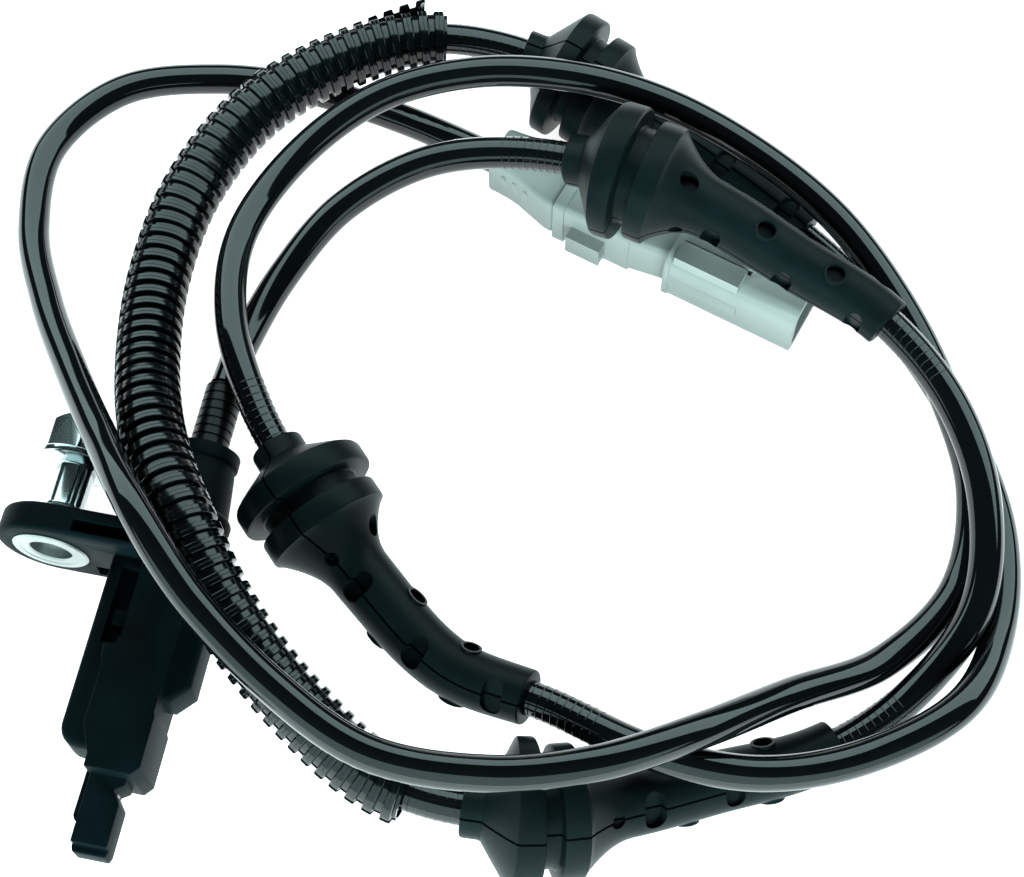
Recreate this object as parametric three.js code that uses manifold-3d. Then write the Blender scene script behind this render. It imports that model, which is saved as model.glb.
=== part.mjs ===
// Abs wheel speed sensor with its lead: a flanged sensor head, a coiled cable with four rubber grommets
// and a corrugated conduit on it, and a two-way connector at its far end. Millimetres, +Z up.
//
// The head lies on its edge with its long axis along Y and its tip towards -Y. The origin is on the
// floor, under the middle of the head. The lead lies beside it in three and a half loose turns.
import * as THREE from 'three';
import * as BufferGeometryUtils from 'three/addons/utils/BufferGeometryUtils.js';
import Module from 'manifold-3d';

const wasm = await Module();
wasm.setup();

// Driving dimensions
const GAP = 0.3; // between pieces that meet
const OVERLAP = 1; // how far joined shapes of one moulding run into each other

const HEAD_X = 9.5; // the head's long axis
const SLEEVE_END_Y = 37.7; // where the cable leaves the head

const PLATE_THICKNESS = 4.6;
const PLATE_WIDTH = 17; // across the lug, and the height that the head lies at
const PLATE_CORNER = 3;
const PLATE_SIDE = 8.5; // from the head's axis to the plate's straight end
const BOLT_OFFSET = 19; // from the head's axis to the bolt's

const BUSH_RADIUS = 6;
const BUSH_BORE = 3.3;

const SHANK_RADIUS = 3;
const SHANK_LENGTH = 12;
const FLANGE_RADIUS = 6.2;
const FLANGE_THICKNESS = 1.6;
const HEX_FLATS = 10;
const HEX_HEIGHT = 6;
const BOLT_OUT = 1.6; // how far the bolt has slid out of its bush

const COLLAR_BASE = 7.4;
const COLLAR_LIP = 5.3;
const COLLAR_LENGTH = 18.9;
const COLLAR_RING = 2.6; // the plain ring at the collar's end

const WING_WIDTH = 17;
const WING_DEPTH = 7.6;
const WING_LENGTH = 29.5;
const WING_CORNER = 3;
const SHORT_WING_LENGTH = 20.5; // the wing away from the lug
const PANEL_WIDTH = 10;
const PANEL_DEPTH = 12.4;
const PANEL_LENGTH = 32.5;
const PANEL_CHAMFER = 2;
const TIP_WIDTH = 5.8;
const TIP_REACH = 43.7; // from the plate's underside to the end of the tip
const TIP_CHAMFER = 1;
const NOTCH_DEPTH = 1.1;
const NOTCH_AT = 34.5;

const BORE_RADIUS = 2.9;
const BORE_REACH = 28;
const POCKET_WIDTH = 4;
const POCKET_DEPTH = 3.6;
const POCKET_WALL = 1.4;

const ELEMENT_LENGTH = 4.4;
const MAGNET_LENGTH = 6;
const CARRIER_WIDTH = 3.4;
const CARRIER_TOP = 0.3;
const CARRIER_THICKNESS = 2;
const CARRIER_END_Y = 5;
const STRIP_WIDTH = 0.8;
const STRIP_THICKNESS = 0.3;
const STRIP_OVER_ELEMENT = 1;
const CRIMP_WIDTH = 1.3;
const CRIMP_LENGTH = 3;
const CRIMP_HEIGHT = 1.6;
const CORE_SPACING = 1.9;
const CORE_RADIUS = 0.6;

const SLEEVE_RADIUS = 3.2;
const SLEEVE_LENGTH = 7.9; // outside the collar
const SLEEVE_PLUG = 6; // inside the collar
const SLEEVE_RIBS = 4;
const SLEEVE_RIB_DEPTH = 0.4;

const CABLE_RADIUS = 2.6;
const CABLE_SIDES = 10;
const CABLE_STEPS = 80;

// Each grommet's place: how far its neck is along the cable, and which way its sleeve runs
const GROMMET_PLACES = [[741.5, -1], [77.5, 1], [465, 1], [270.5, -1]];
const GROMMET_SIDES = 14;
const NECK_RADIUS = 4.1;
const NECK_LENGTH = 3;
const CONE_LENGTH = 3.8;
const RIM_RADIUS = 10.85; // the large flange
const RIM_THICKNESS = 3.4;
const GROOVE_RADIUS = 7.8;
const GROOVE_WIDTH = 2.4;
const SEAT_RADIUS = 9.7; // the smaller flange
const SEAT_THICKNESS = 3.4;
const FLARE_LENGTH = 8;
const TAIL_START_RADIUS = 4.9;
const TAIL_END_RADIUS = 4.1;
const TAIL_LENGTH = 33;
const TAIL_RECESSES = 3;
const RECESS_PITCH = 13.2;
const RECESS_DEPTH = 0.8;
const LAST_RECESS = 4.6; // from the sleeve's end to the middle of its last recess
const RECESS_SIZE = [4, 3.2];

const CONDUIT_START = 279;
const CONDUIT_LENGTH = 171;
const CONDUIT_RADIUS = 5;
const CONDUIT_ROOT = 4.3; // between the ribs
const CONDUIT_BORE = 3.6;
const CONDUIT_PITCH = 2.5;
const CONDUIT_SIDES = 10;
const SLIT_WIDTH = 0.9;

const CONNECTOR_YAW = -18; // degrees
const HOOD_LENGTH = 14;
const HOOD_REAR = [8, 8.5]; // width, height
const BODY_LENGTH = 21;
const BODY_WIDTH = 12;
const BODY_HEIGHT = 10;
const SHROUD_LENGTH = 23.5;
const SHROUD_WIDTH = 13.5;
const SHROUD_HEIGHT = 12;
const SHROUD_WALL = 1.5;
const SHROUD_CORNER = 2.5;
const MOUTH_DEPTH = 19;
const LATCH_WIDTH = 4;
const LATCH_OFFSET = 4.4;
const LATCH_START = 1.4; // from the shroud's rear
const LATCH_LENGTH = 11.6;
const LATCH_THICKNESS = 1.4;
const WAY_SPACING = 3.8; // between the two terminals
const WAY_RADIUS = 1.7;
const SEAL_INNER = 0.9;
const SEAL_LENGTH = 4.5;
const BARREL_SIDE = 1.8;
const BARREL_LENGTH = 7;
const PIN_SIDE = 1;
const PIN_LENGTH = 11;
const RING_THICKNESS = 1.2;
const RING_LENGTH = 3;

// The cable's centre line from the head to the connector, a loose coil laid on the floor
const ROUTE = [
  [9.5, 38, 8.5], [10, 47, 7.5], [13.5, 60, 8.5], [20.5, 72, 12], [32.5, 80.5, 16], [47, 83, 19.5],
  [63.5, 80.5, 23.5], [79.5, 76.5, 23], [94.5, 71.5, 19.5], [109, 65.5, 17.5], [121, 54.5, 15.5], [128, 40, 13.5],
  [129, 23.5, 10.5], [121.5, 9.5, 5.5], [109.5, -1.5, 4.5], [95, -9, 5.5], [80.5, -16.5, 9.5], [65, -21, 12],
  [49, -20, 12], [34.5, -12.5, 15.5], [22, -2.5, 21], [12, 10, 23.5], [3.5, 23.5, 20], [-2.5, 39, 14.5],
  [-5.5, 55, 11.5], [-4.5, 71, 11.5], [2, 86.5, 13], [13.5, 98.5, 14], [28, 106, 14.5], [44, 107.5, 12.5],
  [59.5, 102.5, 10.5], [74.5, 96, 8.5], [89, 88.5, 7], [103, 79.5, 6], [115.5, 68, 5.5], [125.5, 55, 4.5],
  [132.5, 40, 4], [133.5, 23.5, 6.5], [128.5, 8, 12], [116, -2.5, 12.5], [101, -9, 15], [85.5, -9.5, 16.5],
  [69.5, -4.5, 13], [53.5, -0.5, 10], [39.5, 9.5, 10.5], [27.5, 20.5, 13], [16.5, 33, 13.5], [8.5, 47.5, 14],
  [6, 63.5, 13], [11.5, 79, 14], [22.5, 90.5, 17.5], [37.5, 96, 21], [54, 97, 23], [70, 96.5, 20.5],
  [86, 92, 17], [100, 84, 14.5], [111.5, 72.5, 12], [120.5, 59, 10], [127, 43.5, 8.5], [126.5, 27.5, 6],
  [117, 14, 6], [103.5, 4, 12.5], [91, -6.5, 21], [78, -15, 25.5], [63.5, -19.5, 26], [47, -19.5, 25],
  [32, -13, 25.5], [18.5, -4, 28.5], [7, 7.5, 29.5], [-3, 20, 23.5], [-12.5, 32.5, 17.5], [-21.5, 45.5, 12.5],
  [-29, 60, 9], [-31, 76, 8.5], [-22.5, 89.5, 8.5], [-7.5, 96, 7], [8.5, 97.5, 6], [25, 95.5, 5],
  [42.5, 90, 6],
];

// Lengths that follow from the driving dimensions
const HEAD_Z = PLATE_WIDTH / 2;
const COLLAR_END = PLATE_THICKNESS + COLLAR_LENGTH;
const SLEEVE_END = COLLAR_END + GAP + SLEEVE_LENGTH;
const HEAD_Y = SLEEVE_END_Y - SLEEVE_END;
const GROMMET_LENGTH =
  NECK_LENGTH + CONE_LENGTH + RIM_THICKNESS + GROOVE_WIDTH + SEAT_THICKNESS + FLARE_LENGTH + TAIL_LENGTH;

// Materials
const material = (color, roughness, metalness = 0) =>
  new THREE.MeshStandardMaterial({ color, roughness, metalness });
const housingPlastic = material(0x15191a, 0.45);
const rubberBlack = material(0x1b2222, 0.7);
const jacketBlack = material(0x0e1213, 0.35);
const conduitPlastic = material(0x0b0e0f, 0.3);
const zincSteel = material(0xc9ccc8, 0.3, 1);
const connectorGrey = material(0x9aa39c, 0.4);
const sealGreen = material(0x4f7d5a, 0.6);
const tinnedCopper = material(0xc8bfae, 0.35, 1);
const magnetGrey = material(0x4a4d50, 0.4, 0.8);
const elementBlack = material(0x101010, 0.5);
const carrierPlastic = material(0x3a3f42, 0.55);
const coreInsulation = material(0x2b3b6b, 0.5);

// Booleans on closed geometries
function toSolid(geometry) {
  const bare = geometry.clone();
  bare.deleteAttribute('normal');
  bare.deleteAttribute('uv');
  const merged = BufferGeometryUtils.mergeVertices(bare, 1e-4);
  const mesh = new wasm.Mesh({
    numProp: 3,
    vertProperties: Float32Array.from(merged.attributes.position.array),
    triVerts: Uint32Array.from(merged.index.array),
  });
  return new wasm.Manifold(mesh);
}

function toGeometry(solid) {
  const mesh = solid.getMesh();
  const geometry = new THREE.BufferGeometry();
  geometry.setAttribute('position', new THREE.BufferAttribute(mesh.vertProperties, 3));
  geometry.setIndex(new THREE.BufferAttribute(mesh.triVerts, 1));
  geometry.computeVertexNormals();
  return geometry;
}

function combine(joined, cut = []) {
  let solid = toSolid(joined[0]);
  for (const geometry of joined.slice(1)) {
    solid = solid.add(toSolid(geometry));
  }
  for (const geometry of cut) {
    solid = solid.subtract(toSolid(geometry));
  }
  return toGeometry(solid);
}

// Shapes along Y: a box between two heights, an outline in X and Z, a turned profile of [radius, y]
function block(width, from, to, depth, x = 0, z = 0) {
  return new THREE.BoxGeometry(width, to - from, depth).translate(x, (from + to) / 2, z);
}

function slab(shape, from, to) {
  const geometry = new THREE.ExtrudeGeometry(shape, { depth: to - from, bevelEnabled: false, curveSegments: 10 });
  return geometry.rotateX(Math.PI / 2).translate(0, to, 0);
}

function turned(profile, sides) {
  return new THREE.LatheGeometry(profile.map(([radius, y]) => new THREE.Vector2(radius, y)), sides);
}

function rod(radius, from, to, sides, x = 0, z = 0) {
  return new THREE.CylinderGeometry(radius, radius, to - from, sides).translate(x, (from + to) / 2, z);
}

function ring(inner, outer, from, to, sides) {
  return turned([[inner, from], [outer, from], [outer, to], [inner, to], [inner, from]], sides);
}

function roundedRectangle(width, height, corner) {
  const shape = new THREE.Shape();
  const x = width / 2;
  const y = height / 2;
  shape.moveTo(corner - x, -y);
  shape.lineTo(x - corner, -y);
  shape.absarc(x - corner, corner - y, corner, -Math.PI / 2, 0);
  shape.lineTo(x, y - corner);
  shape.absarc(x - corner, y - corner, corner, 0, Math.PI / 2);
  shape.lineTo(corner - x, y);
  shape.absarc(corner - x, y - corner, corner, Math.PI / 2, Math.PI);
  shape.lineTo(-x, corner - y);
  shape.absarc(corner - x, corner - y, corner, Math.PI, 1.5 * Math.PI);
  return shape;
}

function piece(name, geometry, look, parent) {
  const mesh = new THREE.Mesh(geometry, look);
  mesh.name = name;
  parent.add(mesh);
  return mesh;
}

// Sensor head: x across, y along the head from the plate's underside, z up, about the head's axis
function plateShape() {
  const half = PLATE_WIDTH / 2;
  const shape = new THREE.Shape();
  shape.moveTo(-BOLT_OFFSET, -half);
  shape.lineTo(PLATE_SIDE - PLATE_CORNER, -half);
  shape.absarc(PLATE_SIDE - PLATE_CORNER, PLATE_CORNER - half, PLATE_CORNER, -Math.PI / 2, 0);
  shape.lineTo(PLATE_SIDE, half - PLATE_CORNER);
  shape.absarc(PLATE_SIDE - PLATE_CORNER, half - PLATE_CORNER, PLATE_CORNER, 0, Math.PI / 2);
  shape.lineTo(-BOLT_OFFSET, half);
  shape.absarc(-BOLT_OFFSET, 0, half, Math.PI / 2, 1.5 * Math.PI);
  return shape;
}

// A flat shape in X and Y, given a depth in Z about the head's axis
function sheet(points, depth) {
  const shape = new THREE.Shape(points.map(([x, y]) => new THREE.Vector2(x, y)));
  return new THREE.ExtrudeGeometry(shape, { depth, bevelEnabled: false }).translate(0, 0, -depth / 2);
}

function chamferedEnd(width, reach, chamfer, from) {
  const half = width / 2;
  return [[-half, from], [-half, chamfer - reach], [chamfer - half, -reach],
    [half - chamfer, -reach], [half, chamfer - reach], [half, from]];
}

function wings() {
  const half = WING_WIDTH / 2;
  const inside = PANEL_WIDTH / 2 - OVERLAP;
  return sheet([[-half, OVERLAP], [-half, WING_CORNER - WING_LENGTH], [WING_CORNER - half, -WING_LENGTH],
    [inside, -WING_LENGTH], [inside, -SHORT_WING_LENGTH], [half - WING_CORNER, -SHORT_WING_LENGTH],
    [half, WING_CORNER - SHORT_WING_LENGTH], [half, OVERLAP]], WING_DEPTH);
}

function sensorHousing() {
  const half = TIP_WIDTH / 2;
  const notch = sheet([[half + OVERLAP, NOTCH_DEPTH + OVERLAP - NOTCH_AT], [half - NOTCH_DEPTH, -NOTCH_AT],
    [half + OVERLAP, -NOTCH_DEPTH - OVERLAP - NOTCH_AT]], TIP_WIDTH + OVERLAP);
  const collar = turned([[0, PLATE_THICKNESS - OVERLAP], [COLLAR_BASE, PLATE_THICKNESS - OVERLAP],
    [COLLAR_LIP, COLLAR_END - COLLAR_RING], [COLLAR_LIP, COLLAR_END], [0, COLLAR_END]], 24);
  const bushHole = rod(BUSH_RADIUS + GAP, -OVERLAP, PLATE_THICKNESS + OVERLAP, 24, -BOLT_OFFSET);
  const bore = rod(BORE_RADIUS, -BORE_REACH, COLLAR_END + OVERLAP, 20);
  const pocket = block(POCKET_WIDTH, POCKET_WALL - TIP_REACH, OVERLAP - BORE_REACH, POCKET_DEPTH);
  return combine(
    [slab(plateShape(), 0, PLATE_THICKNESS), collar, wings(),
      sheet(chamferedEnd(PANEL_WIDTH, PANEL_LENGTH, PANEL_CHAMFER, OVERLAP), PANEL_DEPTH),
      sheet(chamferedEnd(TIP_WIDTH, TIP_REACH, TIP_CHAMFER, OVERLAP - PANEL_LENGTH), TIP_WIDTH)],
    [bushHole, bore, pocket, notch],
  );
}

function strainRelief() {
  const start = COLLAR_END + GAP;
  const bore = CORE_SPACING / 2 + CORE_RADIUS + GAP;
  const pitch = SLEEVE_LENGTH / (2 * SLEEVE_RIBS + 1);
  const profile = [[bore, start - SLEEVE_PLUG], [BORE_RADIUS - GAP, start - SLEEVE_PLUG],
    [BORE_RADIUS - GAP, start], [SLEEVE_RADIUS, start]];
  for (let rib = 0; rib < SLEEVE_RIBS; rib += 1) {
    const foot = start + (2 * rib + 1) * pitch;
    profile.push([SLEEVE_RADIUS, foot], [SLEEVE_RADIUS - SLEEVE_RIB_DEPTH, foot],
      [SLEEVE_RADIUS - SLEEVE_RIB_DEPTH, foot + pitch], [SLEEVE_RADIUS, foot + pitch]);
  }
  profile.push([SLEEVE_RADIUS, SLEEVE_END], [bore, SLEEVE_END], [bore, start - SLEEVE_PLUG]);
  return turned(profile, 16);
}

function fixingBolt() {
  const flange = SHANK_LENGTH + FLANGE_THICKNESS;
  const corner = HEX_FLATS / Math.sqrt(3);
  return combine([rod(SHANK_RADIUS, 0, SHANK_LENGTH + FLANGE_THICKNESS / 2, 20),
    rod(FLANGE_RADIUS, SHANK_LENGTH, flange, 24),
    rod(corner, flange - FLANGE_THICKNESS / 2, flange + HEX_HEIGHT, 6)]);
}

function sensingPieces(head) {
  const elementFrom = POCKET_WALL + GAP - TIP_REACH;
  const elementTo = elementFrom + ELEMENT_LENGTH;
  const magnetTo = elementTo + GAP + MAGNET_LENGTH;
  const inside = POCKET_WIDTH - 2 * GAP;
  const floor = GAP - POCKET_DEPTH / 2;
  const height = CARRIER_TOP - floor;
  const middle = (CARRIER_TOP + floor) / 2;
  piece('sensing_element', block(inside, elementFrom, elementTo, height, 0, middle), elementBlack, head);
  piece('bias_magnet', block(inside, elementTo + GAP, magnetTo, height, 0, middle), magnetGrey, head);
  piece('element_carrier', block(CARRIER_WIDTH, GAP + Math.max(magnetTo, -BORE_REACH), CARRIER_END_Y,
    CARRIER_THICKNESS, 0, CARRIER_TOP - CARRIER_THICKNESS / 2), carrierPlastic, head);
  const crimpFrom = CARRIER_END_Y + 2;
  const coreFrom = crimpFrom + CRIMP_LENGTH + GAP;
  [-1, 1].forEach((side, index) => {
    const x = side * CORE_SPACING / 2;
    const number = index + 1;
    piece(`lead_strip_${number}`, block(STRIP_WIDTH, elementTo - STRIP_OVER_ELEMENT, crimpFrom - GAP,
      STRIP_THICKNESS, x, CARRIER_TOP + GAP + STRIP_THICKNESS / 2), tinnedCopper, head);
    piece(`crimp_${number}`, block(CRIMP_WIDTH, crimpFrom, crimpFrom + CRIMP_LENGTH, CRIMP_HEIGHT, x),
      tinnedCopper, head);
    piece(`core_${number}`, rod(CORE_RADIUS, coreFrom, SLEEVE_END, 8, x), coreInsulation, head);
  });
}

function buildHead() {
  const head = new THREE.Group();
  head.position.set(HEAD_X, HEAD_Y, HEAD_Z);
  piece('sensor_housing', sensorHousing(), housingPlastic, head);
  const bush = piece('flange_bush', ring(BUSH_BORE, BUSH_RADIUS, 0, PLATE_THICKNESS, 24), zincSteel, head);
  bush.position.x = -BOLT_OFFSET;
  const bolt = piece('fixing_bolt', fixingBolt(), zincSteel, head);
  bolt.position.set(-BOLT_OFFSET, BOLT_OUT, 0);
  piece('strain_relief', strainRelief(), rubberBlack, head);
  sensingPieces(head);
  return head;
}

// The cable, and what sits on it. A shape made about Y is laid along the cable by bending it
const path = new THREE.CatmullRomCurve3(ROUTE.map((point) => new THREE.Vector3(...point)), false, 'catmullrom', 0.5);
const stations = path.getSpacedPoints(CABLE_STEPS);
const frames = path.computeFrenetFrames(CABLE_STEPS, false);
const cableLength = path.getLength();
const stationPitch = cableLength / CABLE_STEPS;

function onCable(arc, across, up) {
  const place = Math.min(Math.max(arc / stationPitch, 0), CABLE_STEPS);
  const before = Math.min(Math.floor(place), CABLE_STEPS - 1);
  const corners = [before, before + 1].map((index) => stations[index].clone()
    .addScaledVector(frames.normals[index], across).addScaledVector(frames.binormals[index], up));
  return corners[0].lerp(corners[1], place - before);
}

function bent(geometry, arc, way) {
  const positions = geometry.attributes.position;
  for (let index = 0; index < positions.count; index += 1) {
    const point = onCable(arc + way * positions.getY(index), way * positions.getX(index), -positions.getZ(index));
    positions.setXYZ(index, point.x, point.y, point.z);
  }
  return geometry;
}

// The offsets from arc at which the cable's stations fall, between two offsets
function stationOffsets(arc, way, from, to) {
  const offsets = [];
  for (let station = 0; station <= CABLE_STEPS; station += 1) {
    const offset = way * (station * stationPitch - arc);
    if (offset > from && offset < to) {
      offsets.push(offset);
    }
  }
  return offsets.sort((first, second) => first - second);
}

function passage(arc, way, radius, length, sides) {
  const offsets = [-OVERLAP, ...stationOffsets(arc, way, -OVERLAP, length + OVERLAP), length + OVERLAP];
  const profile = [[0, -OVERLAP], ...offsets.map((offset) => [radius, offset]), [0, length + OVERLAP]];
  return bent(turned(profile, sides), arc, way);
}

function cable() {
  const section = new THREE.Shape();
  for (let side = 0; side < CABLE_SIDES; side += 1) {
    const angle = (2 * Math.PI * side) / CABLE_SIDES;
    const corner = [CABLE_RADIUS * Math.cos(angle), CABLE_RADIUS * Math.sin(angle)];
    if (side === 0) {
      section.moveTo(...corner);
    } else {
      section.lineTo(...corner);
    }
  }
  return new THREE.ExtrudeGeometry(section, { steps: CABLE_STEPS, extrudePath: path, bevelEnabled: false });
}

function grommetProfile() {
  const rimStart = NECK_LENGTH + CONE_LENGTH;
  const rimEnd = rimStart + RIM_THICKNESS;
  const seatStart = rimEnd + GROOVE_WIDTH;
  const seatEnd = seatStart + SEAT_THICKNESS;
  const tailStart = seatEnd + FLARE_LENGTH;
  const profile = [[0, 0], [NECK_RADIUS, 0], [NECK_RADIUS, NECK_LENGTH], [RIM_RADIUS, rimStart],
    [RIM_RADIUS, rimEnd], [GROOVE_RADIUS, rimEnd], [GROOVE_RADIUS, seatStart], [SEAT_RADIUS, seatStart],
    [SEAT_RADIUS, seatEnd]];
  const flareRings = 3;
  for (let step = 1; step <= flareRings; step += 1) {
    const share = step / flareRings;
    const drop = (SEAT_RADIUS - TAIL_START_RADIUS) * Math.sin((share * Math.PI) / 2);
    profile.push([SEAT_RADIUS - drop, seatEnd + share * FLARE_LENGTH]);
  }
  const tailRings = 5;
  for (let step = 1; step <= tailRings; step += 1) {
    const share = step / tailRings;
    profile.push([THREE.MathUtils.lerp(TAIL_START_RADIUS, TAIL_END_RADIUS, share), tailStart + share * TAIL_LENGTH]);
  }
  profile.push([0, GROMMET_LENGTH]);
  return profile;
}

function grommet([arc, way]) {
  const recesses = [];
  for (let index = 0; index < TAIL_RECESSES; index += 1) {
    const middle = GROMMET_LENGTH - LAST_RECESS - index * RECESS_PITCH;
    const recess = block(RECESS_SIZE[0], middle - RECESS_SIZE[1] / 2, middle + RECESS_SIZE[1] / 2,
      2 * RECESS_DEPTH, 0, TAIL_END_RADIUS);
    recesses.push(bent(recess, arc, way));
  }
  const body = bent(turned(grommetProfile(), GROMMET_SIDES), arc, way);
  return combine([body], [passage(arc, way, CABLE_RADIUS + GAP, GROMMET_LENGTH, CABLE_SIDES), ...recesses]);
}

function conduit() {
  const ribs = Math.floor(CONDUIT_LENGTH / CONDUIT_PITCH);
  const profile = [[0, 0]];
  for (let rib = 0; rib < ribs; rib += 1) {
    profile.push([CONDUIT_ROOT, rib * CONDUIT_PITCH], [CONDUIT_RADIUS, (rib + 0.5) * CONDUIT_PITCH]);
  }
  profile.push([CONDUIT_ROOT, CONDUIT_LENGTH], [0, CONDUIT_LENGTH]);
  const body = bent(turned(profile, CONDUIT_SIDES), CONDUIT_START, 1);
  const slitSteps = CONDUIT_LENGTH / stationPitch;
  const slit = new THREE.BoxGeometry(SLIT_WIDTH, CONDUIT_LENGTH + 2 * OVERLAP, CONDUIT_RADIUS, 1, 4 * Math.ceil(slitSteps))
    .translate(0, CONDUIT_LENGTH / 2, -CONDUIT_RADIUS / 2 - CABLE_RADIUS);
  return combine([body], [passage(CONDUIT_START, 1, CONDUIT_BORE, CONDUIT_LENGTH, CONDUIT_SIDES),
    bent(slit, CONDUIT_START, 1)]);
}

// Connector: y runs forward from the cable's end, x across, z up
function connectorHousing() {
  const bodyEnd = HOOD_LENGTH + BODY_LENGTH;
  const end = bodyEnd + SHROUD_LENGTH;
  const bodyFrom = HOOD_LENGTH + GAP;
  const joined = [block(BODY_WIDTH, bodyFrom, bodyEnd + OVERLAP, BODY_HEIGHT),
    slab(roundedRectangle(SHROUD_WIDTH, SHROUD_HEIGHT, SHROUD_CORNER), bodyEnd, end),
    block(LATCH_WIDTH, bodyEnd + LATCH_START, bodyEnd + LATCH_START + LATCH_LENGTH, LATCH_THICKNESS + OVERLAP,
      LATCH_OFFSET, (SHROUD_HEIGHT + LATCH_THICKNESS - OVERLAP) / 2)];
  const mouth = roundedRectangle(SHROUD_WIDTH - 2 * SHROUD_WALL, SHROUD_HEIGHT - 2 * SHROUD_WALL,
    SHROUD_CORNER - SHROUD_WALL);
  const cut = [slab(mouth, end - MOUTH_DEPTH, end + OVERLAP)];
  for (const side of [-1, 1]) {
    cut.push(rod(WAY_RADIUS, HOOD_LENGTH, end - MOUTH_DEPTH + OVERLAP, 14, side * WAY_SPACING / 2));
  }
  return combine(joined, cut);
}

function connectorCover() {
  const positions = new THREE.BoxGeometry(BODY_WIDTH, HOOD_LENGTH, BODY_HEIGHT).translate(0, HOOD_LENGTH / 2, 0);
  const corners = positions.attributes.position;
  for (let index = 0; index < corners.count; index += 1) {
    if (corners.getY(index) < HOOD_LENGTH / 2) {
      corners.setX(index, Math.sign(corners.getX(index)) * HOOD_REAR[0] / 2);
      corners.setZ(index, Math.sign(corners.getZ(index)) * HOOD_REAR[1] / 2);
      corners.setY(index, GAP);
    }
  }
  const way = WAY_SPACING + 2 * (CORE_RADIUS + GAP);
  return combine([positions], [block(way, -OVERLAP, HOOD_LENGTH + OVERLAP, 2 * (CORE_RADIUS + GAP))]);
}

function buildConnector() {
  const connector = new THREE.Group();
  connector.position.set(...ROUTE[ROUTE.length - 1]);
  connector.rotation.z = THREE.MathUtils.degToRad(CONNECTOR_YAW - 90);
  piece('connector_housing', connectorHousing(), connectorGrey, connector);
  piece('connector_cover', connectorCover(), connectorGrey, connector);
  const mouthFloor = HOOD_LENGTH + BODY_LENGTH + SHROUD_LENGTH - MOUTH_DEPTH;
  const outer = roundedRectangle(SHROUD_WIDTH - 2 * (SHROUD_WALL + GAP), SHROUD_HEIGHT - 2 * (SHROUD_WALL + GAP),
    SHROUD_CORNER - SHROUD_WALL - GAP);
  outer.holes.push(roundedRectangle(SHROUD_WIDTH - 2 * (SHROUD_WALL + GAP + RING_THICKNESS),
    SHROUD_HEIGHT - 2 * (SHROUD_WALL + GAP + RING_THICKNESS), GAP));
  piece('front_seal', slab(outer, mouthFloor + GAP, mouthFloor + GAP + RING_LENGTH), sealGreen, connector);
  const sealFrom = HOOD_LENGTH + 2 * GAP;
  const coreTo = sealFrom + SEAL_LENGTH + GAP;
  const barrelTo = coreTo + GAP + BARREL_LENGTH;
  [-1, 1].forEach((side, index) => {
    const x = side * WAY_SPACING / 2;
    const number = index + 1;
    piece(`rear_core_${number}`, rod(CORE_RADIUS, GAP, coreTo, 8, x), coreInsulation, connector);
    const seal = piece(`wire_seal_${number}`,
      ring(SEAL_INNER, WAY_RADIUS - GAP, sealFrom, sealFrom + SEAL_LENGTH, 14), sealGreen, connector);
    seal.position.x = x;
    const terminal = combine([block(BARREL_SIDE, coreTo + GAP, barrelTo, BARREL_SIDE, x),
      block(PIN_SIDE, barrelTo - OVERLAP, mouthFloor + PIN_LENGTH, PIN_SIDE, x)]);
    piece(`terminal_${number}`, terminal, tinnedCopper, connector);
  });
  return connector;
}

const sensor = new THREE.Group();
sensor.add(buildHead());
piece('cable', cable(), jacketBlack, sensor);
GROMMET_PLACES.forEach((place, index) => piece(`grommet_${index + 1}`, grommet(place), rubberBlack, sensor));
piece('conduit', conduit(), conduitPlastic, sensor);
sensor.add(buildConnector());

export default sensor;
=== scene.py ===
# %% [markdown]
# This scene dresses a wheel speed sensor with its long lead: a flanged sensor head, a coiled cable
# with four rubber grommets and a corrugated conduit, and a pale connector. It starts from the packed
# model, which fixes every size and place. The modelling keeps to that frame, in metres, +Z up.

# %% Load the model and keep its size
import math

import bmesh
import bpy
from mathutils import Matrix, Vector


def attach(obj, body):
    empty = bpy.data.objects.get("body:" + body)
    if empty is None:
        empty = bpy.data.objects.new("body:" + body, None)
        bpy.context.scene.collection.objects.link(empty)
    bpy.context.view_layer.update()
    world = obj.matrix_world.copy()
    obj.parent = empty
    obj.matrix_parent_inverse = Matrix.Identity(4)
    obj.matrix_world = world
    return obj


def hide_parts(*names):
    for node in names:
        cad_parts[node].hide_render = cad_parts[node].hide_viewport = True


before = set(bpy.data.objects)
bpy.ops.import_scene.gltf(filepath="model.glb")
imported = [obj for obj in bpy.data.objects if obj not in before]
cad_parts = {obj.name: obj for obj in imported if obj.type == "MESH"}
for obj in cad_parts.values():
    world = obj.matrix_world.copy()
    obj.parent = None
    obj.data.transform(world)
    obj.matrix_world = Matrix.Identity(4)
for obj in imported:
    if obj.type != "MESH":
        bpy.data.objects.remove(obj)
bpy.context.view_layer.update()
MM = 0.001

# %% [markdown]
# The photograph was taken from above with a short telephoto lens, close enough to show perspective.
# The camera is placed by the point on the floor that it looks at, its distance and two angles,
# because each of these can be set against the picture by itself.

# %% Camera
LOOK_AT = (0.05481, 0.04202, 0.0)  # the floor point in the middle of the picture
DISTANCE = 0.305
ELEVATION = math.radians(65)
AZIMUTH = math.radians(11.3)  # turned from straight along +Y
FOCAL_LENGTH = 66.5
SENSOR_WIDTH = 36.0

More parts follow.
